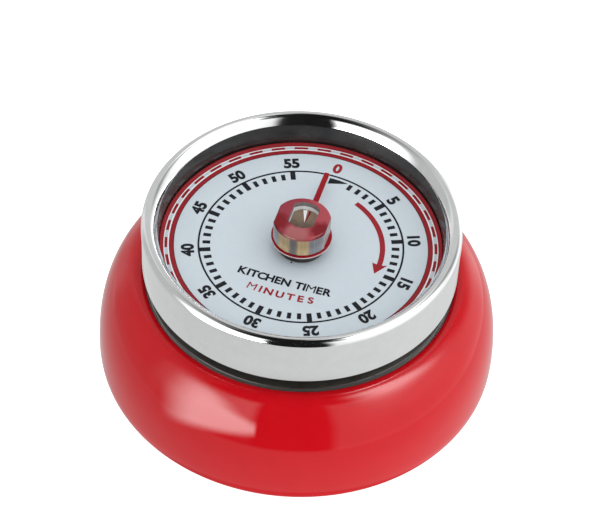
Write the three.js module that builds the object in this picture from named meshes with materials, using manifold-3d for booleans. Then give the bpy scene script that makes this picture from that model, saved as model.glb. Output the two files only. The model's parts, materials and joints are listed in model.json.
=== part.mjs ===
// Wind-up kitchen timer: enamelled round body, chrome bezel, open dial, clear winding knob
// with a red pointer, and a spring-driven movement with a bell.
//
// Units are millimetres. +Z is up, the origin is the centre of the base, +Y points to the
// dial's 0/60 mark and +X to its 15 minute mark.

import * as THREE from 'three';
import { mergeVertices } from 'three/addons/utils/BufferGeometryUtils.js';
import Module from 'manifold-3d';

const wasm = await Module();
wasm.setup();

// ---------------------------------------------------------------- driving dimensions
const BODY_R = 35.1;            // largest radius of the enamelled body
const CASE_SEG = 28;
const SEG = 36;                 // facets of the large turned parts
const DIAL_Z = 28.3;            // top face of the dial
const DIAL_R = 24.0;            // flat part of the dial
const BEZEL_R = 27.93;          // outer radius of the bezel
const BEZEL_Z0 = 24.1;          // lower edge of the bezel
const BEZEL_Z1 = 34.1;          // crest of the bezel
const CASE_R = 24.7;            // outer radius of the movement case
const CASE_WALL = 1.4;
const DECK_Z = [26.3, 27.5];    // deck of the case, under the dial
const FLANGE_R = 26.9;          // flange of the case, over the mouth of the body
const COVER_R = 30.1;           // back cover
const COVER_Z = [0.4, 2.4];
const MAGNET_R = 11.0;
const MAGNET_H = 3.0;
const KNOB_Z = [31.15, 35.3];   // clear knob
const KNOB_R = 5.05;            // its round ends
const KNOB_FLAT = 4.62;         // half the width across its flats
const POINTER_Z = [30.6, 31.1];
const POINTER_R = 15.7;
const POINTER_W = 1.05;
const POINTER_DISC_R = 5.3;
const POINTER_DEG = 98.4;       // rest direction of the pointer, from +X towards +Y
const COLLAR_R = 4.15;
const FRONT_PLATE = [21.6, 22.6];
const BACK_PLATE = [10.0, 11.0];
const PLATE_R = 21.8;
const ARBOR_R = 1.5;            // winding arbor
const PIVOT_R = 0.5;            // pivots of the train
const PIVOT_HOLE_R = 0.58;
const GAP = 0.05;

// train: teeth and modules
const MAIN_N = 48, SECOND_PINION_N = 8, M1 = 0.45;
const SECOND_N = 40, THIRD_PINION_N = 8, M2 = 0.40;
const THIRD_N = 40, ESCAPE_PINION_N = 8, M3 = 0.36;
const ESCAPE_N = 15, ESCAPE_R = 4.0;

// arbor positions: radius from the winding arbor and angle
const polar = (r, deg) => [r * Math.cos(deg * Math.PI / 180), r * Math.sin(deg * Math.PI / 180)];
const C1 = M1 * (MAIN_N + SECOND_PINION_N) / 2;      // 12.6
const C2 = M2 * (SECOND_N + THIRD_PINION_N) / 2;     // 9.6
const C3 = M3 * (THIRD_N + ESCAPE_PINION_N) / 2;     // 8.64
const between = (ra, rb, d) => Math.acos((ra * ra + rb * rb - d * d) / (2 * ra * rb)) * 180 / Math.PI;
const A1 = 160, R2 = 13.2, R3 = 14.5, R4 = 15.0;
const A2 = A1 - between(C1, R2, C2);
const A3 = A2 - between(R2, R3, C3);
const A4 = A3 - between(R3, R4, 5.0);
const SECOND_AT = polar(C1, A1);
const THIRD_AT = polar(R2, A2);
const ESCAPE_AT = polar(R3, A3);
const PALLET_AT = polar(R4, A4);
const BALANCE_AT = polar(15.0, 28);
const HAMMER_AT = polar(17.5, -55);
const HAMMER_HEAD_AT = polar(16.0, -55 - Math.acos(16 / 17.5) * 180 / Math.PI);
const RELEASE_DEG = -55 + Math.acos(4.4 / 17.5) * 180 / Math.PI;   // where the release lever meets its cam

const PILLARS = [polar(19.6, 215), polar(19.6, 340), polar(20.3, 76)];
const CASE_SCREWS = [polar(19.5, 185), polar(19.5, 285), polar(19.5, 55)];
const COVER_SCREWS = [polar(21.6, 30), polar(21.6, 150), polar(21.6, 270)];
const SPRING_POST_AT = polar(9.9, 250);

// ---------------------------------------------------------------- materials
const metal = (color, roughness = 0.3) => new THREE.MeshStandardMaterial({ color, roughness, metalness: 1 });
const plastic = (color, roughness = 0.4) => new THREE.MeshStandardMaterial({ color, roughness, metalness: 0 });
const M = {
  enamel: new THREE.MeshStandardMaterial({ color: 0xc81620, roughness: 0.15, metalness: 0 }),
  chrome: metal(0xe6e8ea, 0.08),
  black: plastic(0x1c1b1a, 0.35),
  dial: plastic(0xd2dae4, 0.45),
  pointer: plastic(0xc4161f, 0.3),
  clear: new THREE.MeshStandardMaterial({ color: 0xf4dcdc, roughness: 0.05, metalness: 0, transparent: true, opacity: 0.45 }),
  brass: metal(0xb8924a, 0.3),
  steel: metal(0xb4b6ba, 0.3),
  darkSteel: metal(0x70747a, 0.35),
  magnet: plastic(0x3a3a3d, 0.6),
};

// ---------------------------------------------------------------- helpers
function clean(geometry) {
  let g = geometry.index ? geometry : geometry.clone();
  for (const name of Object.keys(g.attributes)) if (name !== 'position') g.deleteAttribute(name);
  g = mergeVertices(g, 1e-4);
  // drop collapsed facets
  const src = g.index.array, keep = [];
  for (let i = 0; i < src.length; i += 3) {
    const [a, b, c] = [src[i], src[i + 1], src[i + 2]];
    if (a !== b && b !== c && c !== a) keep.push(a, b, c);
  }
  g.setIndex(keep);
  // faces point outwards
  const p = g.attributes.position;
  let volume = 0;
  const A = new THREE.Vector3(), B = new THREE.Vector3(), C = new THREE.Vector3();
  for (let i = 0; i < keep.length; i += 3) {
    A.fromBufferAttribute(p, keep[i]); B.fromBufferAttribute(p, keep[i + 1]); C.fromBufferAttribute(p, keep[i + 2]);
    volume += A.dot(B.cross(C));
  }
  if (volume < 0) {
    for (let i = 0; i < keep.length; i += 3) [keep[i + 1], keep[i + 2]] = [keep[i + 2], keep[i + 1]];
    g.setIndex(keep);
  }
  return g;
}

const solid = (g) => new wasm.Manifold(new wasm.Mesh({
  numProp: 3,
  vertProperties: new Float32Array(g.attributes.position.array),
  triVerts: new Uint32Array(g.index.array),
}));

function fromSolid(s) {
  const m = s.getMesh();
  const g = new THREE.BufferGeometry();
  g.setAttribute('position', new THREE.BufferAttribute(new Float32Array(m.vertProperties), 3));
  g.setIndex(Array.from(m.triVerts));
  return g;
}

const join = (...gs) => fromSolid(gs.map(solid).reduce((a, b) => a.add(b)));
const cut = (g, ...tools) => fromSolid(tools.map(solid).reduce((a, b) => a.subtract(b), solid(g)));

// a turned part: profile of [radius, height] points, closed on itself unless it starts and ends on the axis
function turned(profile, segments = SEG, at = [0, 0]) {
  const pts = profile.map(([r, z]) => new THREE.Vector2(r, z));
  const onAxis = profile[0][0] === 0 && profile[profile.length - 1][0] === 0;
  if (!onAxis) pts.push(pts[0].clone());
  const g = new THREE.LatheGeometry(pts, segments);
  g.rotateX(Math.PI / 2);
  g.translate(at[0], at[1], 0);
  return clean(g);
}

function rod(radius, z0, z1, at = [0, 0], segments = 8) {
  const g = new THREE.CylinderGeometry(radius, radius, z1 - z0, segments);
  g.rotateX(Math.PI / 2);
  g.translate(at[0], at[1], (z0 + z1) / 2);
  return clean(g);
}

function plate(points, z0, z1, holes = []) {
  const shape = new THREE.Shape(points.map(([x, y]) => new THREE.Vector2(x, y)));
  for (const h of holes) shape.holes.push(new THREE.Path(h.map(([x, y]) => new THREE.Vector2(x, y))));
  const g = new THREE.ExtrudeGeometry(shape, { depth: z1 - z0, bevelEnabled: false });
  g.translate(0, 0, z0);
  return clean(g);
}

const circle = (r, n, at = [0, 0], turn = 0) => Array.from({ length: n }, (_, i) => {
  const a = turn + i * 2 * Math.PI / n;
  return [at[0] + r * Math.cos(a), at[1] + r * Math.sin(a)];
});

// a bar with round ends from a to b
function bar(a, b, halfWidth, n = 5) {
  const dir = Math.atan2(b[1] - a[1], b[0] - a[0]), out = [];
  for (let i = 0; i <= n; i++) { const t = dir - Math.PI / 2 + Math.PI * i / n; out.push([b[0] + halfWidth * Math.cos(t), b[1] + halfWidth * Math.sin(t)]); }
  for (let i = 0; i <= n; i++) { const t = dir + Math.PI / 2 + Math.PI * i / n; out.push([a[0] + halfWidth * Math.cos(t), a[1] + halfWidth * Math.sin(t)]); }
  return out;
}

// gear outline; phase is the angle of the centre of one tooth
function gear(n, module, at, phase, isPinion) {
  const r = n * module / 2, pitch = 2 * Math.PI / n, out = [];
  const root = r - (isPinion ? 1.15 : 1.2) * module, tip = r + (isPinion ? 0.7 : 0.95) * module;
  const wRoot = isPinion ? 0.17 : 0.30, wTip = isPinion ? 0.11 : 0.10;
  for (let i = 0; i < n; i++) {
    const c = phase + i * pitch;
    for (const [rr, f] of [[root, -wRoot], [tip, -wTip], [tip, wTip], [root, wRoot]]) {
      const a = c + f * pitch;
      out.push([at[0] + rr * Math.cos(a), at[1] + rr * Math.sin(a)]);
    }
  }
  return out;
}

// phase of a gear b that meshes with gear a: a tooth of a fills a gap of b on the line of centres
function meshed(atA, nA, phaseA, atB, nB) {
  const line = Math.atan2(atB[1] - atA[1], atB[0] - atA[0]);
  return line + Math.PI - (nA / nB) * (phaseA - line) + Math.PI / nB;
}

// flat spiral strip
function spiral(at, r0, r1, turns, thickness, z0, z1, perTurn, start = 0) {
  const steps = Math.round(turns * perTurn), inner = [], outer = [];
  for (let i = 0; i <= steps; i++) {
    const a = start + i * 2 * Math.PI / perTurn, r = r0 + (r1 - r0) * i / steps;
    inner.push([at[0] + (r - thickness / 2) * Math.cos(a), at[1] + (r - thickness / 2) * Math.sin(a)]);
    outer.push([at[0] + (r + thickness / 2) * Math.cos(a), at[1] + (r + thickness / 2) * Math.sin(a)]);
  }
  return plate([...outer, ...inner.reverse()], z0, z1);
}

const group = new THREE.Group();
group.name = 'kitchen_timer';
function add(name, geometry, material, parent = group) {
  const mesh = new THREE.Mesh(geometry, material);
  mesh.name = name;
  parent.add(mesh);
  return mesh;
}

// ---------------------------------------------------------------- casing
// enamelled body: a hollow bun with a rolled mouth at the top and an inward flange at the foot
const BODY_OUTSIDE = [
  [30.4, 0], [31.8, 0], [33.7, 0.5], [34.75, 1.9], [BODY_R, 5.28], [34.83, 10.1],
  [34.14, 13.71], [33.02, 16.7], [31.4, 19.15], [29.6, 20.85], [28.2, 21.3], [27.35, 21.1], [27.15, 20.6], [26.4, 18.6],
];
const BODY_INSIDE = [
  [27.4, 18.6], [28.6, 19.4], [31.0, 17.8], [33.0, 13.4], [33.7, 3.4], [28.3, 3.4], [28.3, 2.5], [30.4, 2.5],
];
add('body_shell', turned([...BODY_OUTSIDE, ...BODY_INSIDE]), M.enamel);

// back cover with the magnet's pocket, a boss for the bell and three countersunk screw holes
add('back_cover', cut(
  turned([[0, 3.3], [MAGNET_R + 0.3, 3.3], [MAGNET_R + 0.3, COVER_Z[0]], [COVER_R, COVER_Z[0]], [COVER_R, COVER_Z[1]],
    [12.8, COVER_Z[1]], [12.8, 4.3], [0, 4.3]], CASE_SEG),
  ...COVER_SCREWS.map((p) => rod(1.0, 0, 4, p, 8)),
  ...COVER_SCREWS.map((p) => rod(2.1, 0, 1.5, p, 12)),
), M.black);
add('magnet', turned([[0, 0], [MAGNET_R - 0.4, 0], [MAGNET_R, 0.4], [MAGNET_R, MAGNET_H], [0, MAGNET_H]], 28), M.magnet);
COVER_SCREWS.forEach((p, i) => add(`cover_screw_${i + 1}`, cut(
  turned([[0, 0.5], [1.9, 0.5], [1.9, 1.4], [0.75, 1.4], [0.75, 7.2], [0, 7.8]], 8, p),
  plate(circle(1, 4, p, Math.PI / 4).map(([x, y]) => [p[0] + (x - p[0]) * 1.6, p[1] + (y - p[1]) * 0.35]), 0.2, 0.9),
), M.darkSteel));

// movement case: a cup with the dial deck on top and a flange that seats on the body's mouth
const casePiece = join(
  turned([
    [CASE_R, 2.5], [CASE_R, 20.6], [FLANGE_R, 20.6], [FLANGE_R, 21.4], [CASE_R, 21.9], [CASE_R, 23.2], [25.6, 23.4], [25.6, 24.0],
    [CASE_R, 24.0], [CASE_R, DECK_Z[1]], [3.3, DECK_Z[1]], [3.3, DECK_Z[0]], [CASE_R - CASE_WALL, DECK_Z[0]], [CASE_R - CASE_WALL, 2.5],
  ], CASE_SEG),
  ...COVER_SCREWS.map((p) => rod(2.0, 2.5, 8.8, p, 8)),
  ...CASE_SCREWS.map((p) => rod(2.4, FRONT_PLATE[1] + 0.1, DECK_Z[0] + 0.5, p, 8)),
);
add('movement_case', cut(
  casePiece,
  ...COVER_SCREWS.map((p) => rod(0.9, 2, 8.2, p, 8)),
  ...CASE_SCREWS.map((p) => rod(0.9, 22, 25.8, p, 8)),
), M.black);

// chrome bezel: formed ring with a rolled crest, a turned-in lip and an inward foot
add('bezel', turned([
  [24.9, BEZEL_Z0], [27.66, BEZEL_Z0], [BEZEL_R, 32.9], [27.62, 33.75], [26.95, BEZEL_Z1],
  [26.1, 33.95], [25.12, 32.68], [25.4, 32.6], [26.4, 33.45], [27.3, 33.1], [27.1, 24.7], [24.9, 24.7],
]), M.chrome);
// dark ring between the bezel's lip and the dial
add('dial_surround', turned([
  [24.85, 24.9], [25.95, 24.9], [25.95, 32.3], [25.2, 32.5], [24.75, 29.25], [24.85, 28.9],
]), M.black);
// dial with an upturned rim
add('dial', turned([
  [3.3, DIAL_Z - 0.5], [24.35, DIAL_Z - 0.5], [24.72, DIAL_Z + 0.05], [24.6, DIAL_Z + 0.28], [DIAL_R, DIAL_Z], [3.3, DIAL_Z],
]), M.dial);
// bush for the winding arbor, through the dial and the deck
add('dial_collar', turned([
  [ARBOR_R + 0.1, 25.6], [3.1, 25.6], [3.1, DIAL_Z + 0.1], [COLLAR_R, DIAL_Z + 0.1], [COLLAR_R, 30.0], [3.85, 30.3], [ARBOR_R + 0.1, 30.3],
], 20), M.black);

// ---------------------------------------------------------------- movement frame
const pivots = [SECOND_AT, THIRD_AT, ESCAPE_AT, PALLET_AT, BALANCE_AT];
const plateOutline = circle(PLATE_R, 28);
add('front_plate', plate(plateOutline, ...FRONT_PLATE, [
  circle(ARBOR_R + 0.1, 12), ...pivots.map((p) => circle(PIVOT_HOLE_R, 8, p)), circle(PIVOT_HOLE_R, 8, HAMMER_AT),
  ...PILLARS.map((p) => circle(0.8, 8, p)), ...CASE_SCREWS.map((p) => circle(0.95, 8, p)),
]), M.brass);
add('back_plate', plate(plateOutline, ...BACK_PLATE, [
  circle(1.02, 8), ...pivots.map((p) => circle(PIVOT_HOLE_R, 8, p)), circle(0.7, 8, HAMMER_AT),
]), M.brass);
PILLARS.forEach((p, i) => add(`pillar_${i + 1}`, cut(
  turned([[0, BACK_PLATE[1]], [1.5, BACK_PLATE[1]], [1.5, FRONT_PLATE[0]], [0, FRONT_PLATE[0]]], 10, p),
  rod(0.8, FRONT_PLATE[0] - 3, FRONT_PLATE[0] + 1, p, 8),
), M.steel));
PILLARS.forEach((p, i) => add(`plate_screw_${i + 1}`, cut(
  turned([[0, 19.0], [0.65, 19.3], [0.65, FRONT_PLATE[1] + 0.02], [1.5, FRONT_PLATE[1] + 0.02], [1.5, 23.5], [0, 23.5]], 8, p),
  plate([[p[0] - 2, p[1] - 0.2], [p[0] + 2, p[1] - 0.2], [p[0] + 2, p[1] + 0.2], [p[0] - 2, p[1] + 0.2]], 23.2, 24),
), M.darkSteel));
CASE_SCREWS.forEach((p, i) => add(`case_screw_${i + 1}`, cut(
  turned([[0, 20.6], [1.6, 20.6], [1.6, FRONT_PLATE[0] - 0.02], [0.75, FRONT_PLATE[0] - 0.02], [0.75, 25.0], [0, 25.5]], 8, p),
  plate([[p[0] - 2, p[1] - 0.2], [p[0] + 2, p[1] - 0.2], [p[0] + 2, p[1] + 0.2], [p[0] - 2, p[1] + 0.2]], 20, 20.95),
), M.darkSteel));

// ---------------------------------------------------------------- bell
add('bell', turned([
  [1.4, 4.45], [13.0, 4.45], [18.2, 5.5], [19.2, 6.6], [19.2, 8.0], [18.4, 8.0], [18.4, 6.85], [17.6, 6.15], [13.0, 5.2], [1.4, 5.2],
], 28), M.steel);
add('bell_post', turned([[0, 4.32], [1.25, 4.32], [1.25, 7.0], [1.0, 7.3], [0, 7.3]], 8), M.steel);
add('bell_nut', plate(circle(2.5, 6), 5.35, 6.6, [circle(1.4, 8)]), M.steel);

// ---------------------------------------------------------------- winding arbor, knob and pointer (one body)
add('main_arbor', join(
  rod(ARBOR_R, 11.3, 32.5, [0, 0], 14),
  rod(0.9, 10.1, 11.5, [0, 0], 8),
), M.steel);
const RIM = 6;
function doubleD(half, radius, deg) {
  const a0 = Math.asin(half / radius), out = [];
  const c = Math.cos((deg - 90) * Math.PI / 180), s = Math.sin((deg - 90) * Math.PI / 180);
  for (const base of [Math.PI / 2, -Math.PI / 2]) {
    const span = Math.PI / 2 - Math.acos(half / radius);
    for (let i = 0; i <= RIM; i++) { const t = base - span + 2 * span * i / RIM; out.push([radius * Math.cos(t), radius * Math.sin(t)]); }
  }
  return out.map(([x, y]) => [x * c - y * s, x * s + y * c]);
}
// clear knob: round ends, two flats along the pointer, bevelled top edge, a window in its top set towards the pointer
// and a blind bore below
const WINDOW_AT = polar(0.85, POINTER_DEG);
const knobBlank = (() => {
  const levels = [[KNOB_Z[0], 0], [34.75, 0], [35.15, 0.15], [KNOB_Z[1], 0.4]];
  const rings = levels.map(([z, inset]) => doubleD(KNOB_FLAT - inset, KNOB_R - inset, POINTER_DEG).map(([x, y]) => [x, y, z]));
  const n = rings[0].length, position = rings.flat(2), index = [];
  for (let k = 0; k < rings.length - 1; k++) for (let i = 0; i < n; i++) {
    const a = k * n + i, b = k * n + (i + 1) % n;
    index.push(a, b, b + n, a, b + n, a + n);
  }
  const top = position.length / 3; position.push(0, 0, KNOB_Z[1]);
  const bottom = top + 1; position.push(0, 0, KNOB_Z[0]);
  for (let i = 0; i < n; i++) {
    index.push((rings.length - 1) * n + i, (rings.length - 1) * n + (i + 1) % n, top);
    index.push((i + 1) % n, i, bottom);
  }
  const g = new THREE.BufferGeometry();
  g.setAttribute('position', new THREE.Float32BufferAttribute(position, 3));
  g.setIndex(index);
  return clean(g);
})();
add('knob', cut(
  knobBlank,
  plate(doubleD(2.3, 3.05, POINTER_DEG).map(([x, y]) => [x + WINDOW_AT[0], y + WINDOW_AT[1]]), 33.4, 36),
  rod(2.75, 31, 32.95, [0, 0], 14),
), M.clear);
add('knob_insert', cut(
  rod(2.6, POINTER_Z[0], 32.8, [0, 0], 14),
  rod(ARBOR_R + GAP, 30, 32.6, [0, 0], 14),
), M.brass);
const pointerOutline = (() => {
  const w = POINTER_W / 2, a0 = Math.asin(w / POINTER_DISC_R), out = [], n = 24;
  for (let i = 0; i <= n; i++) { const t = a0 + (2 * Math.PI - 2 * a0) * i / n; out.push([POINTER_DISC_R * Math.cos(t), POINTER_DISC_R * Math.sin(t)]); }
  out.push([POINTER_R, -w * 0.85], [POINTER_R, w * 0.85]);
  const c = Math.cos(POINTER_DEG * Math.PI / 180), s = Math.sin(POINTER_DEG * Math.PI / 180);
  return out.map(([x, y]) => [x * c - y * s, x * s + y * c]);
})();
add('pointer', plate(pointerOutline, ...POINTER_Z, [circle(2.7, 14)]), M.pointer);

// main wheel, its ratchet and the cam that releases the hammer
const mainPhase = 0, HALF14 = Math.PI / 2;
const MAIN_Z = [15.9, 16.9];
const CLICK_AT = polar(6.9, 300);
add('main_wheel', plate(gear(MAIN_N, M1, [0, 0], mainPhase, false), ...MAIN_Z, [
  circle(ARBOR_R + GAP, 14, [0, 0], HALF14), circle(PIVOT_HOLE_R, 8, CLICK_AT),
  circle(2.1, 8, polar(6.4, 60)), circle(2.1, 8, polar(6.4, 140)), circle(2.1, 8, polar(6.4, 220)),
]), M.brass);
const RATCHET_N = 12, RATCHET_R = 3.8, RATCHET_PHASE = 18 * Math.PI / 180;
const ratchet = [];
for (let i = 0; i < RATCHET_N; i++) {
  const a = RATCHET_PHASE + i * 2 * Math.PI / RATCHET_N, p = 2 * Math.PI / RATCHET_N;
  ratchet.push([RATCHET_R * Math.cos(a), RATCHET_R * Math.sin(a)], [(RATCHET_R - 0.75) * Math.cos(a + 0.06 * p), (RATCHET_R - 0.75) * Math.sin(a + 0.06 * p)]);
}
add('ratchet_wheel', plate(ratchet, 17.2, 17.9, [circle(ARBOR_R + GAP, 14, [0, 0], HALF14)]), M.steel);
// click: pivots on the main wheel, nose in the ratchet
const clickTip = polar(3.95, 300 - 40);
add('click', join(
  plate(bar(CLICK_AT, [clickTip[0] + 0.35 * (CLICK_AT[0] - clickTip[0]) / 5, clickTip[1] + 0.35 * (CLICK_AT[1] - clickTip[1]) / 5], 0.42), 17.2, 17.9),
  rod(0.95, 17.2, 17.9, CLICK_AT, 10),
  rod(PIVOT_R, 15.95, 17.5, CLICK_AT, 8),
), M.steel);
const notch = polar(4.4, RELEASE_DEG), inward = polar(1, RELEASE_DEG), across = [-inward[1], inward[0]];
const CAM_R = 4.2;
add('release_cam', cut(
  plate(circle(CAM_R, 24), 20.6, 21.3, [circle(ARBOR_R + GAP, 14, [0, 0], HALF14)]),
  plate([[2.3, -1.15], [6, -1.15], [6, 1.15], [2.3, 1.15]].map(([u, v]) => [u * inward[0] + v * across[0], u * inward[1] + v * across[1]]), 20, 22),
), M.brass);

// mainspring, anchored at its outer end on a post
add('mainspring', spiral([0, 0], 2.4, 8.6, 3.5, 0.35, 11.4, 15.4, 12, 70 * Math.PI / 180), M.darkSteel);
add('spring_post', rod(0.8, BACK_PLATE[1], 15.4, SPRING_POST_AT, 8), M.steel);

// ---------------------------------------------------------------- going train
function arbor(at, r = 0.7) {
  return join(
    rod(r, BACK_PLATE[1] + 0.15, FRONT_PLATE[0] - 0.15, at),
    rod(PIVOT_R, BACK_PLATE[0] + 0.05, BACK_PLATE[1] + 0.4, at),
    rod(PIVOT_R, FRONT_PLATE[0] - 0.4, FRONT_PLATE[1] - 0.05, at),
  );
}
const secondPhase = meshed([0, 0], MAIN_N, mainPhase, SECOND_AT, SECOND_PINION_N);
add('second_pinion', join(arbor(SECOND_AT), plate(gear(SECOND_PINION_N, M1, SECOND_AT, secondPhase, true), 15.5, 17.6)), M.steel);
add('second_wheel', plate(gear(SECOND_N, M2, SECOND_AT, secondPhase, false), 18.3, 19.1, [
  circle(0.8, 8, SECOND_AT), ...[0, 1, 2].map((k) => { const q = polar(4.4, 30 + 120 * k); return circle(2.0, 8, [SECOND_AT[0] + q[0], SECOND_AT[1] + q[1]]); }),
]), M.brass);
const thirdPhase = meshed(SECOND_AT, SECOND_N, secondPhase, THIRD_AT, THIRD_PINION_N);
add('third_pinion', join(arbor(THIRD_AT), plate(gear(THIRD_PINION_N, M2, THIRD_AT, thirdPhase, true), 17.9, 19.4)), M.steel);
add('third_wheel', plate(gear(THIRD_N, M3, THIRD_AT, thirdPhase, false), 19.65, 20.4, [
  circle(0.8, 8, THIRD_AT), ...[0, 1, 2].map((k) => { const q = polar(4.0, 10 + 120 * k); return circle(1.8, 8, [THIRD_AT[0] + q[0], THIRD_AT[1] + q[1]]); }),
]), M.brass);
const escapePhase = meshed(THIRD_AT, THIRD_N, thirdPhase, ESCAPE_AT, ESCAPE_PINION_N);
add('escape_pinion', join(arbor(ESCAPE_AT, 0.65), plate(gear(ESCAPE_PINION_N, M3, ESCAPE_AT, escapePhase, true), 19.4, 20.65)), M.steel);

// escape wheel: pointed teeth, one of them on the line towards the pallet arbor
const toPallet = Math.atan2(PALLET_AT[1] - ESCAPE_AT[1], PALLET_AT[0] - ESCAPE_AT[0]);
const escapeOutline = [];
for (let i = 0; i < ESCAPE_N; i++) {
  const c = toPallet + i * 2 * Math.PI / ESCAPE_N;
  for (const [r, h] of [[2.95, -0.38], [ESCAPE_R, -0.07], [ESCAPE_R, 0.07], [2.95, 0.38]]) {
    const a = c + h / r;
    escapeOutline.push([ESCAPE_AT[0] + r * Math.cos(a), ESCAPE_AT[1] + r * Math.sin(a)]);
  }
}
add('escape_wheel', plate(escapeOutline, 13.0, 13.8, [circle(0.75, 8, ESCAPE_AT)]), M.brass);

// pallet lever: two pins over the escape wheel and a fork towards the balance
const PIN_SPAN = 42 * Math.PI / 180;
const pins = [toPallet - PIN_SPAN, toPallet + PIN_SPAN].map((a) => [ESCAPE_AT[0] + 4.35 * Math.cos(a), ESCAPE_AT[1] + 4.35 * Math.sin(a)]);
const toBalance = Math.atan2(BALANCE_AT[1] - PALLET_AT[1], BALANCE_AT[0] - PALLET_AT[0]);
const balanceDistance = Math.hypot(BALANCE_AT[0] - PALLET_AT[0], BALANCE_AT[1] - PALLET_AT[1]);
const IMPULSE_R = 1.42;
const along = (d, side = 0) => [
  PALLET_AT[0] + d * Math.cos(toBalance) - side * Math.sin(toBalance),
  PALLET_AT[1] + d * Math.sin(toBalance) + side * Math.cos(toBalance),
];
const forkR = balanceDistance - IMPULSE_R;
const fork = [along(0, -0.45), along(forkR - 1.4, -0.35), along(forkR - 0.9, -0.95), along(forkR + 0.3, -0.95), along(forkR + 0.3, -0.42),
  along(forkR - 0.75, -0.42), along(forkR - 0.75, 0.42), along(forkR + 0.3, 0.42), along(forkR + 0.3, 0.95), along(forkR - 0.9, 0.95),
  along(forkR - 1.4, 0.35), along(0, 0.45)];
add('pallet_lever', cut(join(
  rod(1.2, 14.1, 14.9, PALLET_AT, 10),
  ...pins.map((p) => plate(bar(PALLET_AT, p, 0.42), 14.1, 14.9)),
  ...pins.map((p) => rod(0.2, 12.85, 14.5, p, 6)),
  plate(fork, 14.1, 14.9),
), rod(0.56, 12, 16, PALLET_AT, 8)), M.steel);
add('pallet_arbor', join(
  rod(0.5, BACK_PLATE[0] + 0.05, FRONT_PLATE[1] - 0.05, PALLET_AT),
  rod(0.8, 15.0, 15.6, PALLET_AT),
), M.steel);

// balance: rim with a cross bar, staff with roller and impulse pin, and its flat spring
const half = (sign) => {
  const out = [], r = 4.9, off = 0.55, a0 = Math.asin(off / r);
  for (let i = 0; i <= 8; i++) { const t = a0 + (Math.PI - 2 * a0) * i / 8; out.push([BALANCE_AT[0] + r * Math.cos(t), BALANCE_AT[1] + sign * r * Math.sin(t)]); }
  return out;
};
add('balance_wheel', cut(
  plate(circle(6.0, 24, BALANCE_AT), 18.6, 20.0),
  plate(half(1), 18, 21), plate(half(-1), 18, 21), rod(0.8, 18, 21, BALANCE_AT),
), M.brass);
const impulse = [BALANCE_AT[0] - IMPULSE_R * Math.cos(toBalance), BALANCE_AT[1] - IMPULSE_R * Math.sin(toBalance)];
add('balance_staff', join(arbor(BALANCE_AT), rod(2.0, 15.15, 15.75, BALANCE_AT, 12), rod(0.25, 13.9, 15.4, impulse, 6)), M.steel);
add('hairspring', spiral(BALANCE_AT, 1.2, 3.4, 2.5, 0.2, 17.5, 18.1, 10, 0.4), M.steel);

// ---------------------------------------------------------------- hammer
add('hammer_arbor', join(
  rod(0.6, 8.5, FRONT_PLATE[0] - 0.15, HAMMER_AT),
  rod(PIVOT_R, FRONT_PLATE[0] - 0.4, FRONT_PLATE[1] - 0.05, HAMMER_AT),
), M.steel);
add('hammer_arm', cut(join(
  rod(1.25, 8.6, 9.4, HAMMER_AT, 10),
  plate(bar(HAMMER_AT, HAMMER_HEAD_AT, 0.6), 8.6, 9.4),
), rod(0.66, 8, 10, HAMMER_AT)), M.darkSteel);
add('hammer_head', turned([[0, 6.9], [1.2, 6.9], [1.5, 7.2], [1.5, 8.55], [0, 8.55]], 12, HAMMER_HEAD_AT), M.brass);
// release lever: its nose points into the cam's notch when the timer has run down
const leverTip = [inward[0] * 7.3, inward[1] * 7.3];
add('release_lever', cut(join(
  rod(1.35, 20.6, 21.3, HAMMER_AT, 10),
  plate(bar(HAMMER_AT, leverTip, 0.55), 20.6, 21.3),
  plate([[6.0, -0.4], [7.3, -0.5], [7.3, 0.5], [6.0, 0.4]].map(([u, v]) => [u * inward[0] + v * across[0], u * inward[1] + v * across[1]]), 20.6, 21.3),
), rod(0.66, 20, 22, HAMMER_AT)), M.steel);
// wire spring that presses the hammer towards the bell, held on the back plate
const SPRING_STUD_AT = polar(15.2, 312);
add('hammer_spring', join(
  rod(0.8, 8.5, BACK_PLATE[0], SPRING_STUD_AT, 8),
  plate(bar(SPRING_STUD_AT, [5.91, -14.05], 0.16, 3), 8.6, 9.0),
), M.steel);

export default group;
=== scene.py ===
import json
import math

import bmesh
import bpy
from mathutils import Matrix, Vector


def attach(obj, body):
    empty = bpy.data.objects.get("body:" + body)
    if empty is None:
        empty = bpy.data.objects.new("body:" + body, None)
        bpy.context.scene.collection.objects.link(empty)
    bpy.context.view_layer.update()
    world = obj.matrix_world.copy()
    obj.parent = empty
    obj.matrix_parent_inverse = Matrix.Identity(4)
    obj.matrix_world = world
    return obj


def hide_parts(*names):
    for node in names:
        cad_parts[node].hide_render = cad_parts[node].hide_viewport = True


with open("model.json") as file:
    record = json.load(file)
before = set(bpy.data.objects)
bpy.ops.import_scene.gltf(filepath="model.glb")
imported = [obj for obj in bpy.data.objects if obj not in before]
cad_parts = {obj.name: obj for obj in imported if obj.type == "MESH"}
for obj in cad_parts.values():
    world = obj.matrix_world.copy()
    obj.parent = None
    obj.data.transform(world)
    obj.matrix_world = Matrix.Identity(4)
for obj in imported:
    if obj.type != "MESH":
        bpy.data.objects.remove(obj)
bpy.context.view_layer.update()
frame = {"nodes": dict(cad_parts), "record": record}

NODES = frame["nodes"]
MM = 0.001
U = 17.87            # radius of the dial's thin tick circle, mm
DIAL_Z = 28.3        # top face of the dial, mm
POINTER_DEG = 98.4

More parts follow.
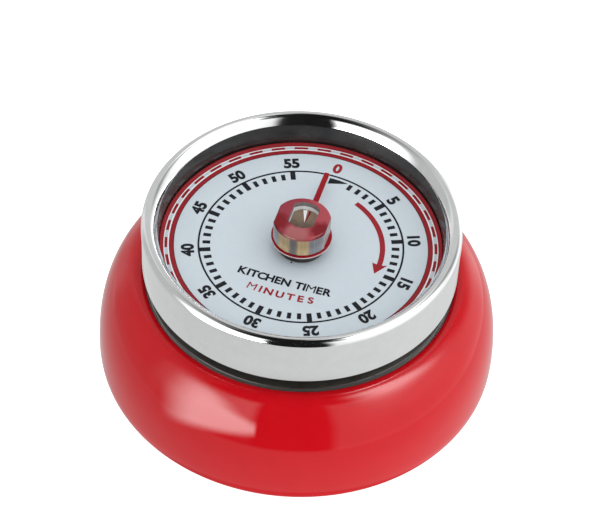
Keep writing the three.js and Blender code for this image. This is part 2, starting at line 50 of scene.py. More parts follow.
# ------------------------------------------------------------------ camera
AZ, EL, DIST, ROLL = math.radians(22.96), math.radians(47.38), 0.718, math.radians(3.0)
target = Vector((0, 0, DIAL_Z * MM))
toward = Vector((math.sin(AZ) * math.cos(EL), -math.cos(AZ) * math.cos(EL), math.sin(EL)))
FOCAL_PX = 4120.0
right = (-toward).cross(Vector((0, 0, 1))).normalized()
up = right.cross(-toward).normalized()
right_r = right * math.cos(ROLL) + up * math.sin(ROLL)
up_r = -right * math.sin(ROLL) + up * math.cos(ROLL)
px, py = 301.0, 245.63
forward = (-toward - right_r * ((px - 300) / FOCAL_PX) - up_r * ((260 - py) / FOCAL_PX)).normalized()
x_axis = (right_r - forward * right_r.dot(forward)).normalized()
y_axis = x_axis.cross(forward).normalized()
cam_data = bpy.data.cameras.new("camera")
cam = bpy.data.objects.new("camera", cam_data)
bpy.context.scene.collection.objects.link(cam)
cam.matrix_world = Matrix((
    (x_axis.x, y_axis.x, -forward.x, target.x + toward.x * DIST),
    (x_axis.y, y_axis.y, -forward.y, target.y + toward.y * DIST),
    (x_axis.z, y_axis.z, -forward.z, target.z + toward.z * DIST),
    (0, 0, 0, 1)))
cam_data.sensor_width = 36
cam_data.lens = FOCAL_PX / 600 * 36
cam_data.clip_start, cam_data.clip_end = 0.01, 20
bpy.context.scene.camera = cam
bpy.context.scene.view_settings.view_transform = "Standard"

# ------------------------------------------------------------------ node helpers


def new_material(name):
    m = bpy.data.materials.new(name)
    m.use_nodes = True
    nt = m.node_tree
    nt.nodes.clear()
    out = nt.nodes.new("ShaderNodeOutputMaterial")
    bsdf = nt.nodes.new("ShaderNodeBsdfPrincipled")
    nt.links.new(bsdf.outputs[0], out.inputs[0])
    return m, nt, bsdf


def coords(nt, scale=(1, 1, 1)):
    t = nt.nodes.new("ShaderNodeTexCoord")
    mp = nt.nodes.new("ShaderNodeMapping")
    mp.inputs["Scale"].default_value = scale
    nt.links.new(t.outputs["Object"], mp.inputs["Vector"])
    return mp.outputs[0]


def noise(nt, vector, scale, detail=2.0, rough=0.5, distortion=0.0):
    n = nt.nodes.new("ShaderNodeTexNoise")
    n.inputs["Scale"].default_value = scale
    n.inputs["Detail"].default_value = detail
    n.inputs["Roughness"].default_value = rough
    n.inputs["Distortion"].default_value = distortion
    nt.links.new(vector, n.inputs["Vector"])
    return n.outputs["Fac"]


def remap(nt, value, a, b, lo, hi, smooth=False):
    n = nt.nodes.new("ShaderNodeMapRange")
    n.interpolation_type = "SMOOTHSTEP" if smooth else "LINEAR"
    for k, v in (("From Min", a), ("From Max", b), ("To Min", lo), ("To Max", hi)):
        n.inputs[k].default_value = v
    nt.links.new(value, n.inputs["Value"])
    return n.outputs["Result"]


def math_node(nt, op, a, b=None):
    n = nt.nodes.new("ShaderNodeMath")
    n.operation = op
    for i, v in enumerate((a, b)):
        if v is None:
            continue
        if isinstance(v, (int, float)):
            n.inputs[i].default_value = v
        else:
            nt.links.new(v, n.inputs[i])
    return n.outputs[0]


def mix_colour(nt, fac, a, b):
    n = nt.nodes.new("ShaderNodeMix")
    n.data_type = "RGBA"
    for key, v in ((6, a), (7, b)):
        if isinstance(v, tuple):
            n.inputs[key].default_value = (*v, 1)
        else:
            nt.links.new(v, n.inputs[key])
    if isinstance(fac, (int, float)):
        n.inputs[0].default_value = fac
    else:
        nt.links.new(fac, n.inputs[0])
    return n.outputs[2]


def bump(nt, height, strength, distance, bsdf):
    n = nt.nodes.new("ShaderNodeBump")
    n.inputs["Strength"].default_value = strength
    n.inputs["Distance"].default_value = distance
    nt.links.new(height, n.inputs["Height"])
    nt.links.new(n.outputs[0], bsdf.inputs["Normal"])


def finish_material(name, dark, light, scale=900.0, metallic=0.0, rough=(0.3, 0.4), bump_scale=None, bump_strength=0.1,
                    bump_distance=0.00002, coat=0.0, coat_rough=0.03, ior=1.5, stretch=(1, 1, 1), detail=3.0, coat_ior=1.5):
    """A surface whose colour, roughness and height all vary a little with procedural noise."""
    m, nt, b = new_material(name)
    v = coords(nt, stretch)
    n1 = noise(nt, v, scale, detail)
    n2 = noise(nt, v, scale * 0.13, 2.0)
    both = math_node(nt, "ADD", math_node(nt, "MULTIPLY", n1, 0.5), math_node(nt, "MULTIPLY", n2, 0.5))
    nt.links.new(mix_colour(nt, remap(nt, both, 0.35, 0.65, 0, 1), dark, light), b.inputs["Base Color"])
    nt.links.new(remap(nt, both, 0.35, 0.65, rough[0], rough[1]), b.inputs["Roughness"])
    b.inputs["Metallic"].default_value = metallic
    b.inputs["IOR"].default_value = ior
    if coat:
        b.inputs["Coat Weight"].default_value = coat
        b.inputs["Coat Roughness"].default_value = coat_rough
        b.inputs["Coat IOR"].default_value = coat_ior
    if bump_scale:
        bump(nt, noise(nt, v, bump_scale, 2.0), bump_strength, bump_distance, b)
    return m


MAT = {
    "enamel": finish_material("enamel", (0.47, 0.0036, 0.0080), (0.50, 0.0050, 0.0100), 260, rough=(0.030, 0.045),
                              bump_scale=420, bump_strength=0.05, bump_distance=0.00001, ior=1.42),
    "chrome": finish_material("chrome", (0.80, 0.81, 0.81), (0.85, 0.86, 0.86), 500, metallic=1.0, rough=(0.06, 0.11),
                              bump_scale=420, bump_strength=0.07, bump_distance=0.00001),
    "case_plastic": finish_material("case_plastic", (0.016, 0.014, 0.010), (0.026, 0.023, 0.018), 900, rough=(0.28, 0.40),
                                    bump_scale=2600, bump_strength=0.12),
    "surround_plastic": finish_material("surround_plastic", (0.017, 0.016, 0.016), (0.036, 0.032, 0.029), 260, rough=(0.20, 0.32),
                                        bump_scale=700, bump_strength=0.05),
    "cover_plastic": finish_material("cover_plastic", (0.018, 0.018, 0.018), (0.030, 0.030, 0.030), 1600, rough=(0.42, 0.58),
                                     bump_scale=5200, bump_strength=0.5, bump_distance=0.00003),
    "dial_paint": finish_material("dial_paint", (0.50, 0.565, 0.615), (0.52, 0.585, 0.635), 1500, rough=(0.30, 0.38),
                                  bump_scale=3800, bump_strength=0.08),
    "print_black": finish_material("print_black", (0.0045, 0.0065, 0.010), (0.009, 0.011, 0.016), 2500, rough=(0.45, 0.6),
                                   bump_scale=6000, bump_strength=0.1, ior=1.3),
    "print_red": finish_material("print_red", (0.25, 0.012, 0.018), (0.30, 0.017, 0.024), 2500, rough=(0.42, 0.52),
                                 bump_scale=6000, bump_strength=0.1, ior=1.24),
    "print_white": finish_material("print_white", (0.80, 0.82, 0.85), (0.86, 0.88, 0.90), 2500, rough=(0.36, 0.46),
                                   bump_scale=6000, bump_strength=0.1),
    "pointer_red": finish_material("pointer_red", (0.22, 0.005, 0.010), (0.28, 0.008, 0.014), 1400, rough=(0.2, 0.3),
                                   bump_scale=2500, bump_strength=0.06, ior=1.24),
    "pointer_edge": finish_material("pointer_edge", (0.72, 0.54, 0.55), (0.84, 0.68, 0.69), 1800, rough=(0.2, 0.3),
                                    bump_scale=2500, bump_strength=0.06),
    "insert_brass": finish_material("insert_brass", (0.60, 0.46, 0.24), (0.74, 0.58, 0.32), 1200, metallic=1.0, rough=(0.14, 0.24),
                                    bump_scale=2600, bump_strength=0.12, stretch=(1, 1, 0.15)),
    "wheel_brass": finish_material("wheel_brass", (0.56, 0.39, 0.15), (0.70, 0.50, 0.21), 1100, metallic=1.0, rough=(0.22, 0.36),
                                   bump_scale=3000, bump_strength=0.12),
    "plate_brass": finish_material("plate_brass", (0.52, 0.37, 0.15), (0.64, 0.47, 0.21), 900, metallic=1.0, rough=(0.24, 0.40),
                                   bump_scale=2600, bump_strength=0.2, stretch=(1, 0.04, 1)),
    "bell_steel": finish_material("bell_steel", (0.55, 0.55, 0.54), (0.68, 0.67, 0.66), 700, metallic=1.0, rough=(0.16, 0.28),
                                  bump_scale=1800, bump_strength=0.1),
    "spring_steel": finish_material("spring_steel", (0.09, 0.10, 0.15), (0.20, 0.21, 0.27), 900, metallic=1.0, rough=(0.22, 0.36),
                                    bump_scale=2200, bump_strength=0.1),
    "arbor_steel": finish_material("arbor_steel", (0.42, 0.42, 0.43), (0.58, 0.58, 0.59), 1300, metallic=1.0, rough=(0.18, 0.32),
                                   bump_scale=3200, bump_strength=0.15, stretch=(1, 1, 0.1)),
    "screw_steel": finish_material("screw_steel", (0.30, 0.30, 0.31), (0.46, 0.46, 0.47), 1300, metallic=1.0, rough=(0.22, 0.38),
                                   bump_scale=3200, bump_strength=0.15),
    "ferrite": finish_material("ferrite", (0.030, 0.030, 0.033), (0.060, 0.060, 0.064), 2200, rough=(0.45, 0.65),
                               bump_scale=4200, bump_strength=0.5, bump_distance=0.00004),
}


TURN = math.radians(POINTER_DEG)


def knob_frame(nt):
    """Millimetres in the knob's own frame: along the pointer, to its left, and height."""
    t = nt.nodes.new("ShaderNodeTexCoord")
    mp = nt.nodes.new("ShaderNodeMapping")
    mp.inputs["Scale"].default_value = (1000, 1000, 1000)
    mp.inputs["Rotation"].default_value = (0, 0, -TURN)
    nt.links.new(t.outputs["Object"], mp.inputs["Vector"])
    sp = nt.nodes.new("ShaderNodeSeparateXYZ")
    nt.links.new(mp.outputs[0], sp.inputs[0])
    return sp.outputs


def knob_top_material():
    m, nt, b = new_material("knob_red")
    u, left, z = knob_frame(nt)
    n = noise(nt, coords(nt), 900, 3.0)
    wobble = remap(nt, n, 0.3, 0.7, -0.5, 0.5)
    # Painted refraction and reflection: the opaque top stands in for the clear knob over the red disc. One side is a
    # deeper red than the other, a paler pink patch lies on the side away from the pointer, and deep red lobes sit near
    # the flats.
    pink = mix_colour(nt, remap(nt, math_node(nt, "ADD", left, wobble), -1.5, 1.5, 0, 1, True), (0.33, 0.056, 0.070), (0.235, 0.030, 0.046))
    across = math_node(nt, "ABSOLUTE", left)
    pale_reflection_mask = math_node(nt, "MULTIPLY", remap(nt, math_node(nt, "ADD", u, wobble), -1.9, -2.9, 0, 1, True), remap(nt, across, 1.3, 2.5, 1, 0, True))
    pink = mix_colour(nt, pale_reflection_mask, pink, (0.31, 0.095, 0.098))
    du = math_node(nt, "ADD", u, 1.9)
    dv = math_node(nt, "MULTIPLY", math_node(nt, "SUBTRACT", across, 4.1), 0.9)
    dist = math_node(nt, "SQRT", math_node(nt, "ADD", math_node(nt, "MULTIPLY", du, du), math_node(nt, "MULTIPLY", dv, dv)))
    deep_red_refraction_mask = remap(nt, math_node(nt, "ADD", dist, math_node(nt, "MULTIPLY", wobble, 0.5)), 1.2, 2.7, 1, 0, True)
    nt.links.new(mix_colour(nt, deep_red_refraction_mask, pink, (0.165, 0.006, 0.011)), b.inputs["Base Color"])
    nt.links.new(remap(nt, n, 0.3, 0.7, 0.10, 0.18), b.inputs["Roughness"])
    b.inputs["IOR"].default_value = 1.30
    bump(nt, noise(nt, coords(nt), 700, 1.0), 0.04, 0.00001, b)
    return m


def knob_wall_material():
    """Painted refraction and reflection: silver and brass bands of the insert, as they show through the knob's side,
    with dark, blue and rose reflections between them, set by angle around the knob; painted brighter towards the
    bottom.
    """
    m, nt, b = new_material("knob_side")
    u, left, z = knob_frame(nt)
    turn = math_node(nt, "FRACT", math_node(nt, "ADD", math_node(nt, "MULTIPLY", math_node(nt, "ARCTAN2", left, u), 1 / (2 * math.pi)), 1.9619))
    ramp = nt.nodes.new("ShaderNodeValToRGB")
    silver, gold, dark = (0.25, 0.262, 0.27), (0.45, 0.335, 0.18), (0.150, 0.140, 0.136)
    blue, rose = (0.195, 0.200, 0.220), (0.31, 0.275, 0.28)
    stops = [(-180, silver), (-140, silver), (-134, gold), (-118, gold), (-112, silver), (-53, silver), (-48, gold), (-25, gold), (-21, dark), (-9, dark),
             (-5, gold), (15, gold), (19, blue), (44, blue), (50, rose), (96, rose), (104, silver), (128, silver), (134, gold), (150, gold), (156, silver)]
    el = ramp.color_ramp.elements
    while len(el) > 1:
        el.remove(el[-1])
    el[0].position, el[0].color = 0.0, (*stops[0][1], 1)
    for deg, c in stops[1:]:
        e = el.new(0.5 + deg / 360)
        e.color = (*c, 1)
    nt.links.new(turn, ramp.inputs[0])
    streak = noise(nt, coords(nt, (1, 1, 0.06)), 5200, 2.0)
    # painted light: the side is made brighter towards its bottom
    painted_lower_light = remap(nt, z, 33.6, 31.8, 0.92, 1.32, True)
    gain = math_node(nt, "MULTIPLY", painted_lower_light, remap(nt, streak, 0.3, 0.7, 0.86, 1.14))
    scale = nt.nodes.new("ShaderNodeVectorMath")
    scale.operation = "SCALE"
    nt.links.new(ramp.outputs[0], scale.inputs[0])
    nt.links.new(gain, scale.inputs["Scale"])
    nt.links.new(scale.outputs[0], b.inputs["Base Color"])
    nt.links.new(remap(nt, streak, 0.3, 0.7, 0.16, 0.28), b.inputs["Roughness"])
    b.inputs["IOR"].default_value = 1.45
    bump(nt, streak, 0.05, 0.00001, b)
    return m


def knob_floor_material():
    m, nt, b = new_material("knob_floor")
    u, left, z = knob_frame(nt)
    n = noise(nt, coords(nt), 1300, 3.0)
    shade = remap(nt, math_node(nt, "ADD", u, remap(nt, n, 0.3, 0.7, -0.6, 0.6)), -1.6, 3.2, 0, 1, True)
    nt.links.new(mix_colour(nt, shade, (0.075, 0.038, 0.020), (0.23, 0.165, 0.115)), b.inputs["Base Color"])
    nt.links.new(remap(nt, n, 0.3, 0.7, 0.3, 0.45), b.inputs["Roughness"])
    bump(nt, n, 0.15, 0.00003, b)
    return m


MAT["knob_red"] = knob_top_material()
MAT["knob_side"] = knob_wall_material()
MAT["knob_floor"] = knob_floor_material()
MAT["knob_grey"] = finish_material("knob_grey", (0.15, 0.145, 0.14), (0.21, 0.205, 0.20), 1500, rough=(0.2, 0.3), bump_scale=2600, bump_strength=0.05)
MAT["knob_white"] = finish_material("knob_white", (0.82, 0.84, 0.86), (0.90, 0.92, 0.94), 1500, rough=(0.2, 0.3), bump_scale=2600, bump_strength=0.05)

# ------------------------------------------------------------------ mesh helpers (millimetres in, metres out)


def piece(name, verts, faces, material, body, sharp=30.0, replaces=()):
    me = bpy.data.meshes.new(name)
    me.from_pydata([(x * MM, y * MM, z * MM) for x, y, z in verts], [], faces)
    return finish_piece(name, me, material, body, sharp, replaces)


def finish_piece(name, me, material, body, sharp=30.0, replaces=(), recalc=True):
    bm = bmesh.new()
    bm.from_mesh(me)
    bmesh.ops.remove_doubles(bm, verts=bm.verts, dist=2e-7)
    bmesh.ops.dissolve_degenerate(bm, edges=bm.edges, dist=1e-8)
    if recalc:
        bmesh.ops.recalc_face_normals(bm, faces=bm.faces)
    bm.to_mesh(me)
    bm.free()
    me.polygons.foreach_set("use_smooth", [True] * len(me.polygons))
    me.set_sharp_from_angle(angle=math.radians(sharp))
    me.update()
    o = bpy.data.objects.new(name, me)
    bpy.context.scene.collection.objects.link(o)
    mats = material if isinstance(material, (list, tuple)) else [material]
    me.materials.clear()
    for k in mats:
        me.materials.append(MAT[k])
    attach(o, body)
    if replaces:
        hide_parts(*replaces)
    return o


def catmull(points, n=8):
    out = []
    for i in range(len(points) - 1):
        p0, p1, p2, p3 = points[max(i - 1, 0)], points[i], points[i + 1], points[min(i + 2, len(points) - 1)]
        for k in range(n):
            t = k / n
            out.append(tuple(0.5 * (2 * b + (c - a) * t + (2 * a - 5 * b + 4 * c - d) * t * t + (3 * b - a - 3 * c + d) * t ** 3)
                             for a, b, c, d in zip(p0, p1, p2, p3)))
    out.append(tuple(points[-1]))
    return out


def rounded(points, n=4):
    """Closed profile; a third number on a point is the radius of its corner."""
    out, m = [], len(points)
    for i, p in enumerate(points):
        f = p[2] if len(p) > 2 else 0
        if not f:
            out.append((p[0], p[1]))
            continue
        a, b = points[i - 1], points[(i + 1) % m]
        P, A, B = Vector(p[:2]), Vector(a[:2]), Vector(b[:2])
        da, db = (A - P), (B - P)
        la, lb = da.length, db.length
        da.normalize(), db.normalize()
        ang = da.angle(db)
        d = min(f / math.tan(ang / 2), la * 0.45, lb * 0.45)
        r = d * math.tan(ang / 2)
        c = P + (da + db).normalized() * (r / math.sin(ang / 2))
        s, e = P + da * d, P + db * d
        a0, a1 = math.atan2(*(s - c).yx), math.atan2(*(e - c).yx)
        turn = (a1 - a0 + math.pi) % (2 * math.pi) - math.pi
        for k in range(n + 1):
            t = a0 + turn * k / n
            out.append((c.x + r * math.cos(t), c.y + r * math.sin(t)))
    return out


def lathe_data(profile, seg=160, at=(0, 0), start=0.0):
    """Turns a closed profile round an axis. Points on the axis become one vertex."""
    verts, faces, rings = [], [], []
    for r, z in profile:
        if r < 1e-6:
            rings.append([len(verts)])
            verts.append((at[0], at[1], z))
        else:
            rings.append(list(range(len(verts), len(verts) + seg)))
            for k in range(seg):
                t = start + 2 * math.pi * k / seg
                verts.append((at[0] + r * math.cos(t), at[1] + r * math.sin(t), z))
    m = len(rings)
    for i in range(m):
        a, b = rings[i], rings[(i + 1) % m]
        if len(a) == 1 and len(b) == 1:
            continue
        for k in range(seg):
            j = (k + 1) % seg
            if len(a) == 1:
                faces.append((a[0], b[j], b[k]))
            elif len(b) == 1:
                faces.append((a[k], a[j], b[0]))
            else:
                faces.append((a[k], a[j], b[j], b[k]))
    return verts, faces


def join_data(*parts):
    verts, faces = [], []
    for v, f in parts:
        n = len(verts)
        verts += v
        faces += [tuple(i + n for i in face) for face in f]
    return verts, faces


def lathe(name, profile, material, body, seg=160, sharp=30.0, replaces=(), at=(0, 0)):
    v, f = lathe_data(profile, seg, at)
    return piece(name, v, f, material, body, sharp, replaces)


def prism(points, z0, z1):
    n = len(points)
    verts = [(x, y, z0) for x, y in points] + [(x, y, z1) for x, y in points]
    faces = [tuple(reversed(range(n))), tuple(range(n, 2 * n))]
    faces += [(i, (i + 1) % n, n + (i + 1) % n, n + i) for i in range(n)]
    return verts, faces


def dial_point(minute, r):
    a = math.radians(minute * 6)
    return r * math.sin(a), r * math.cos(a)


def sector(m0, m1, r0, r1, z0, z1, n=1):
    """Closed block on the dial from minute m0 to m1 and radius r0 to r1, r in units of U."""
    verts, faces = [], []
    for k in range(n + 1):
        m = m0 + (m1 - m0) * k / n
        for r, z in ((r0, z0), (r1, z0), (r1, z1), (r0, z1)):
            x, y = dial_point(m, r * U)
            verts.append((x, y, z))
    for k in range(n):
        a, b = 4 * k, 4 * k + 4
        for i in range(4):
            j = (i + 1) % 4
            faces.append((a + i, a + j, b + j, b + i))
    faces.append((3, 2, 1, 0))
    e = 4 * n
    faces.append((e, e + 1, e + 2, e + 3))
    return verts, faces


def tick(minute, r0, r1, width, z0, z1):
    a = math.radians(minute * 6)
    s, c = math.sin(a), math.cos(a)
    w = width * U / 2
    pts = [(s * r * U + c * o, c * r * U - s * o) for r, o in ((r0, -w), (r1, -w), (r1, w), (r0, w))]
    return prism(pts, z0, z1)


def ring(r0, r1, z0, z1, seg=240):
    return lathe_data([(r0 * U, z0), (r1 * U, z0), (r1 * U, z1), (r0 * U, z1)], seg)


def boolean(target, cutter, op="DIFFERENCE"):
    m = target.modifiers.new("cut", "BOOLEAN")
    m.operation, m.object, m.solver = op, cutter, "EXACT"
    bpy.context.view_layer.update()
    dg = bpy.context.evaluated_depsgraph_get()
    me = bpy.data.meshes.new_from_object(target.evaluated_get(dg))
    target.modifiers.clear()
    target.data = me
    bpy.data.objects.remove(cutter)
    return me


def raw(name, verts, faces):
    me = bpy.data.meshes.new(name)
    me.from_pydata([(x * MM, y * MM, z * MM) for x, y, z in verts], [], faces)
    bm = bmesh.new()
    bm.from_mesh(me)
    bmesh.ops.remove_doubles(bm, verts=bm.verts, dist=2e-7)
    bmesh.ops.recalc_face_normals(bm, faces=bm.faces)
    bm.to_mesh(me)
    bm.free()
    o = bpy.data.objects.new(name, me)
    bpy.context.scene.collection.objects.link(o)
    return o


# ------------------------------------------------------------------ casing
outer = catmull([(31.5, 0.02), (32.75, 0.13), (33.7, 0.5), (34.6, 1.55), (34.99, 2.95), (35.1, 5.28), (34.99, 8.55), (34.67, 11.28),
                 (34.14, 13.71), (33.41, 15.84), (32.52, 17.65), (31.4, 19.15), (30.25, 20.35), (29.1, 21.08), (28.2, 21.3),
                 (27.5, 21.2), (27.2, 20.8), (26.95, 20.1), (26.4, 18.7)], 7)
inner = [(26.75, 18.45), (27.4, 18.75), (28.6, 19.4), (29.9, 18.95), (31.0, 17.8), (32.1, 15.9), (33.0, 13.4), (33.5, 10.0), (33.75, 6.5), (33.7, 3.4),
         (28.35, 3.4), (28.3, 2.5), (30.4, 2.5), (30.4, 0.0), (31.1, 0.0)]
shell = lathe("enamel_body", outer + inner, "enamel", "housing", seg=256, replaces=["body_shell"])
shell.visible_glossy = False

bezel_profile = (
    rounded([(24.9, 24.1), (27.66, 24.1, 0.18), (27.78, 30.0)], 5)[:-1]
    + catmull([(27.78, 30.0), (27.9, 32.0), (27.93, 32.75), (27.86, 33.25), (27.65, 33.64), (27.32, 33.93), (26.9, 34.09), (26.45, 34.05),
               (26.05, 33.82), (25.7, 33.48), (25.4, 33.1), (25.18, 32.78)], 6)
    + [(25.12, 32.66), (25.2, 32.6), (25.42, 32.62), (25.9, 33.0), (26.5, 33.5), (27.0, 33.4), (27.28, 33.05), (27.32, 32.4), (27.1, 24.75), (24.9, 24.7)])
lathe("bezel_ring", bezel_profile, "chrome", "housing", seg=256, replaces=["bezel"])

lathe("surround_ring", rounded([(24.85, 24.9), (25.95, 24.9), (25.95, 32.3, 0.08), (25.2, 32.5, 0.1), (24.75, 29.25, 0.1), (24.85, 28.9)], 3),
      "surround_plastic", "housing", seg=256, replaces=["dial_surround"])

dial_rim = [(24.0, 28.3), (24.15, 28.31), (24.5, 28.5), (24.6, 28.56), (24.66, 28.56), (24.72, 28.42), (24.7, 28.3), (24.35, 27.8)]
lathe("dial_plate", [(3.3, 27.8), (3.3, 28.22), (3.38, 28.3)] + dial_rim, "dial_paint", "housing", seg=256, replaces=["dial"])

lathe("collar", rounded([(1.6, 25.6), (3.1, 25.6), (3.1, 28.4), (4.15, 28.4, 0.06), (4.15, 30.0, 0.1), (3.85, 30.3, 0.08), (1.6, 30.3)], 3),
      "case_plastic", "housing", seg=96, replaces=["dial_collar"])

COVER_SCREWS = [(21.6 * math.cos(math.radians(a)), 21.6 * math.sin(math.radians(a))) for a in (30, 150, 270)]
CASE_SCREWS = [(19.5 * math.cos(math.radians(a)), 19.5 * math.sin(math.radians(a))) for a in (185, 285, 55)]
cup = lathe_data(rounded([
    (24.7, 2.5), (24.7, 20.6), (26.9, 20.6, 0.1), (26.9, 21.4, 0.15), (24.7, 21.9, 0.3), (24.7, 23.2), (25.6, 23.4, 0.08), (25.6, 24.0), (24.7, 24.0),
    (24.7, 27.5), (3.3, 27.5), (3.3, 26.3), (23.3, 26.3), (23.3, 2.5)], 3), 160)
bosses = [lathe_data([(0.9, 2.5), (2.0, 2.5), (2.0, 8.8), (0, 8.8), (0, 8.2), (0.9, 8.2)], 24, p) for p in COVER_SCREWS]
bosses += [lathe_data([(0.9, 22.7), (2.4, 22.7), (2.4, 26.5), (0, 26.5), (0, 25.8), (0.9, 25.8)], 24, p) for p in CASE_SCREWS]
v, f = join_data(cup, *bosses)
piece("movement_cup", v, f, "case_plastic", "housing", replaces=["movement_case"])

# back cover: shallow rings moulded in its underside, three counterbored screw holes and the pocket for the magnet
cover_profile = rounded([
    (0, 3.3), (11.3, 3.3), (11.3, 0.4, 0.15), (12.6, 0.4, 0.1), (12.7, 0.62), (13.3, 0.62), (13.4, 0.4, 0.1),
    (17.4, 0.4, 0.1), (17.55, 0.6), (18.15, 0.6), (18.3, 0.4, 0.1), (25.6, 0.4, 0.1), (25.75, 0.6), (26.35, 0.6), (26.5, 0.4, 0.1),
    (30.1, 0.4, 0.25), (30.1, 2.4, 0.1), (12.8, 2.4), (12.8, 4.3, 0.2), (0, 4.3)], 3)
v, f = lathe_data(cover_profile, 160)
cover = raw("cover_tmp", v, f)
tools = join_data(*[lathe_data([(0, -1), (2.15, -1), (2.15, 1.5), (1.0, 1.5), (1.0, 5), (0, 5)], 32, p) for p in COVER_SCREWS])
cutter = raw("cover_cut", *tools)
me = boolean(cover, cutter)
bpy.data.objects.remove(cover)
finish_piece("back_plate_cover", me, "cover_plastic", "housing", replaces=["back_cover"])

lathe("magnet_disc", rounded([(0, 0), (11.0, 0, 0.4), (11.0, 3.0, 0.1), (0, 3.0)], 4), "ferrite", "housing", seg=128, replaces=["magnet"])


def cross_screw(name, at, node):
    prof = rounded([(0, 0.5), (1.75, 0.5, 0.25), (1.9, 0.85, 0.1), (1.9, 1.4), (0.75, 1.4), (0.75, 7.2), (0, 7.8)], 3)
    body = raw(name + "_tmp", *lathe_data(prof, 40, at))
    arms = []
    for turn in (0.3, 0.3 + math.pi / 2):
        c, s = math.cos(turn), math.sin(turn)
        pts = [(at[0] + x * c - y * s, at[1] + x * s + y * c) for x, y in ((-1.15, -0.2), (1.15, -0.2), (1.15, 0.2), (-1.15, 0.2))]
        arms.append(pts)
    one = raw("arm1", *prism(arms[0], 0.2, 1.05))
    boolean(body, one)
    two = raw("arm2", *prism(arms[1], 0.2, 1.05))
    me = boolean(body, two)
    bpy.data.objects.remove(body)
    finish_piece(name, me, "screw_steel", "housing", replaces=[node])


for i, p in enumerate(COVER_SCREWS):
    cross_screw(f"base_screw_{i + 1}", p, f"cover_screw_{i + 1}")

# ------------------------------------------------------------------ print on the dial
Z0, Z1 = DIAL_Z - 0.02, DIAL_Z + 0.025


def unit_ring(a, b):
    return ring(a, b, Z0, Z1)


black = [unit_ring(0.9905, 1.0095), unit_ring(1.2390, 1.2445)]
for m in range(1, 56):
    major = m % 5 == 0
    black.append(tick(m, 0.886, 1.0 if major else 0.961, 0.050 if major else 0.040, Z0, Z1 + (0.002 if major else 0)))
wedge = [dial_point(-1.3, 0.883 * U), dial_point(0.55, 0.9575 * U), dial_point(0.55, 0.962 * U), dial_point(0.1, 0.963 * U), dial_point(-0.4, 0.963 * U),
         dial_point(-0.9, 0.963 * U), dial_point(-1.3, 0.963 * U)]
black.append(prism(wedge, Z0, Z1))
black.append(tick(29.6, 0.236, 0.250, 0.018, Z0, Z1))
v, f = join_data(*black)
piece("dial_scale", v, f, "print_black", "housing")

red = [unit_ring(1.2445, 1.2880)]
for k in range(36):
    c = (k + 0.5) * 60 / 36
    red.append(sector(c - 0.295 * 60 / 36, c + 0.295 * 60 / 36, 1.304, 1.331, Z0, Z1, 4))
red.append(sector(3.0, 14.0, 0.770, 0.822, Z0, Z1, 28))
head = [dial_point(13.5, 0.722 * U), dial_point(13.7, 0.796 * U), dial_point(13.5, 0.870 * U), dial_point(15.15, 0.789 * U)]
red.append(prism(head, Z0, Z1 + 0.003))
v, f = join_data(*red)
piece("dial_rings_red", v, f, "print_red", "housing")
rim_red = [(23.98, 28.27), (24.15, 28.285), (24.5, 28.46), (24.62, 28.52), (24.70, 28.43), (24.735, 28.45), (24.70, 28.57), (24.62, 28.61), (24.48, 28.545), (24.15, 28.345), (23.98, 28.335)]
lathe("dial_rim_red", rim_red, "print_red", "housing", seg=256, sharp=60)
v, f = join_data(ring(1.2905, 1.3015, Z0, Z1), ring(1.3335, 1.3420, Z0, Z1))
piece("dial_lines_white", v, f, "print_white", "housing")


def lettering(name, items, material, z0, z1):
    """items: (text, centre x, centre y, turn in degrees, capital height, width factor, bold). Flat letters with a real thickness."""
    bm_all = bmesh.new()
    for text, cx, cy, turn, height, squeeze, bold in items:
        cu = bpy.data.curves.new("tmp_text", "FONT")
        cu.body = text
        cu.size = 1.0
        cu.align_x, cu.align_y = "LEFT", "BOTTOM_BASELINE"
        cu.resolution_u = 5
        cu.offset = bold
        cu.extrude = 0.5
        o = bpy.data.objects.new("tmp_text", cu)
        bpy.context.scene.collection.objects.link(o)
        bpy.context.view_layer.update()
        me = bpy.data.meshes.new_from_object(o.evaluated_get(bpy.context.evaluated_depsgraph_get()))
        xs = [v.co.x for v in me.vertices]
        ys = [v.co.y for v in me.vertices]
        k = height / (max(ys) - min(ys))
        mx, my = (max(xs) + min(xs)) / 2, (max(ys) + min(ys)) / 2
        c, s = math.cos(math.radians(turn)), math.sin(math.radians(turn))
        for vert in me.vertices:
            x, y = (vert.co.x - mx) * k * squeeze, (vert.co.y - my) * k
            z = z1 if vert.co.z > 0 else z0
            vert.co = ((cx + x * c - y * s) * MM, (cy + x * s + y * c) * MM, z * MM)
        bm_all.from_mesh(me)
        bpy.data.objects.remove(o)
        bpy.data.curves.remove(cu)
        bpy.data.meshes.remove(me)
    out = bpy.data.meshes.new(name)
    bm_all.to_mesh(out)
    bm_all.free()
    finish_piece(name, out, material, "housing")


numerals = []
for m in range(5, 60, 5):
    x, y = dial_point(m, 1.108 * U)
    numerals.append((str(m), x, y, -6 * m, 0.130 * U, 0.97 if m > 5 else 1.02, 0.048))
lettering("dial_numerals", numerals, "print_black", Z0, Z1)
x, y = dial_point(-1.0, 1.108 * U)
lettering("dial_zero", [("0", x, y, 6, 0.132 * U, 1.02, 0.046)], "print_red", Z0, Z1)


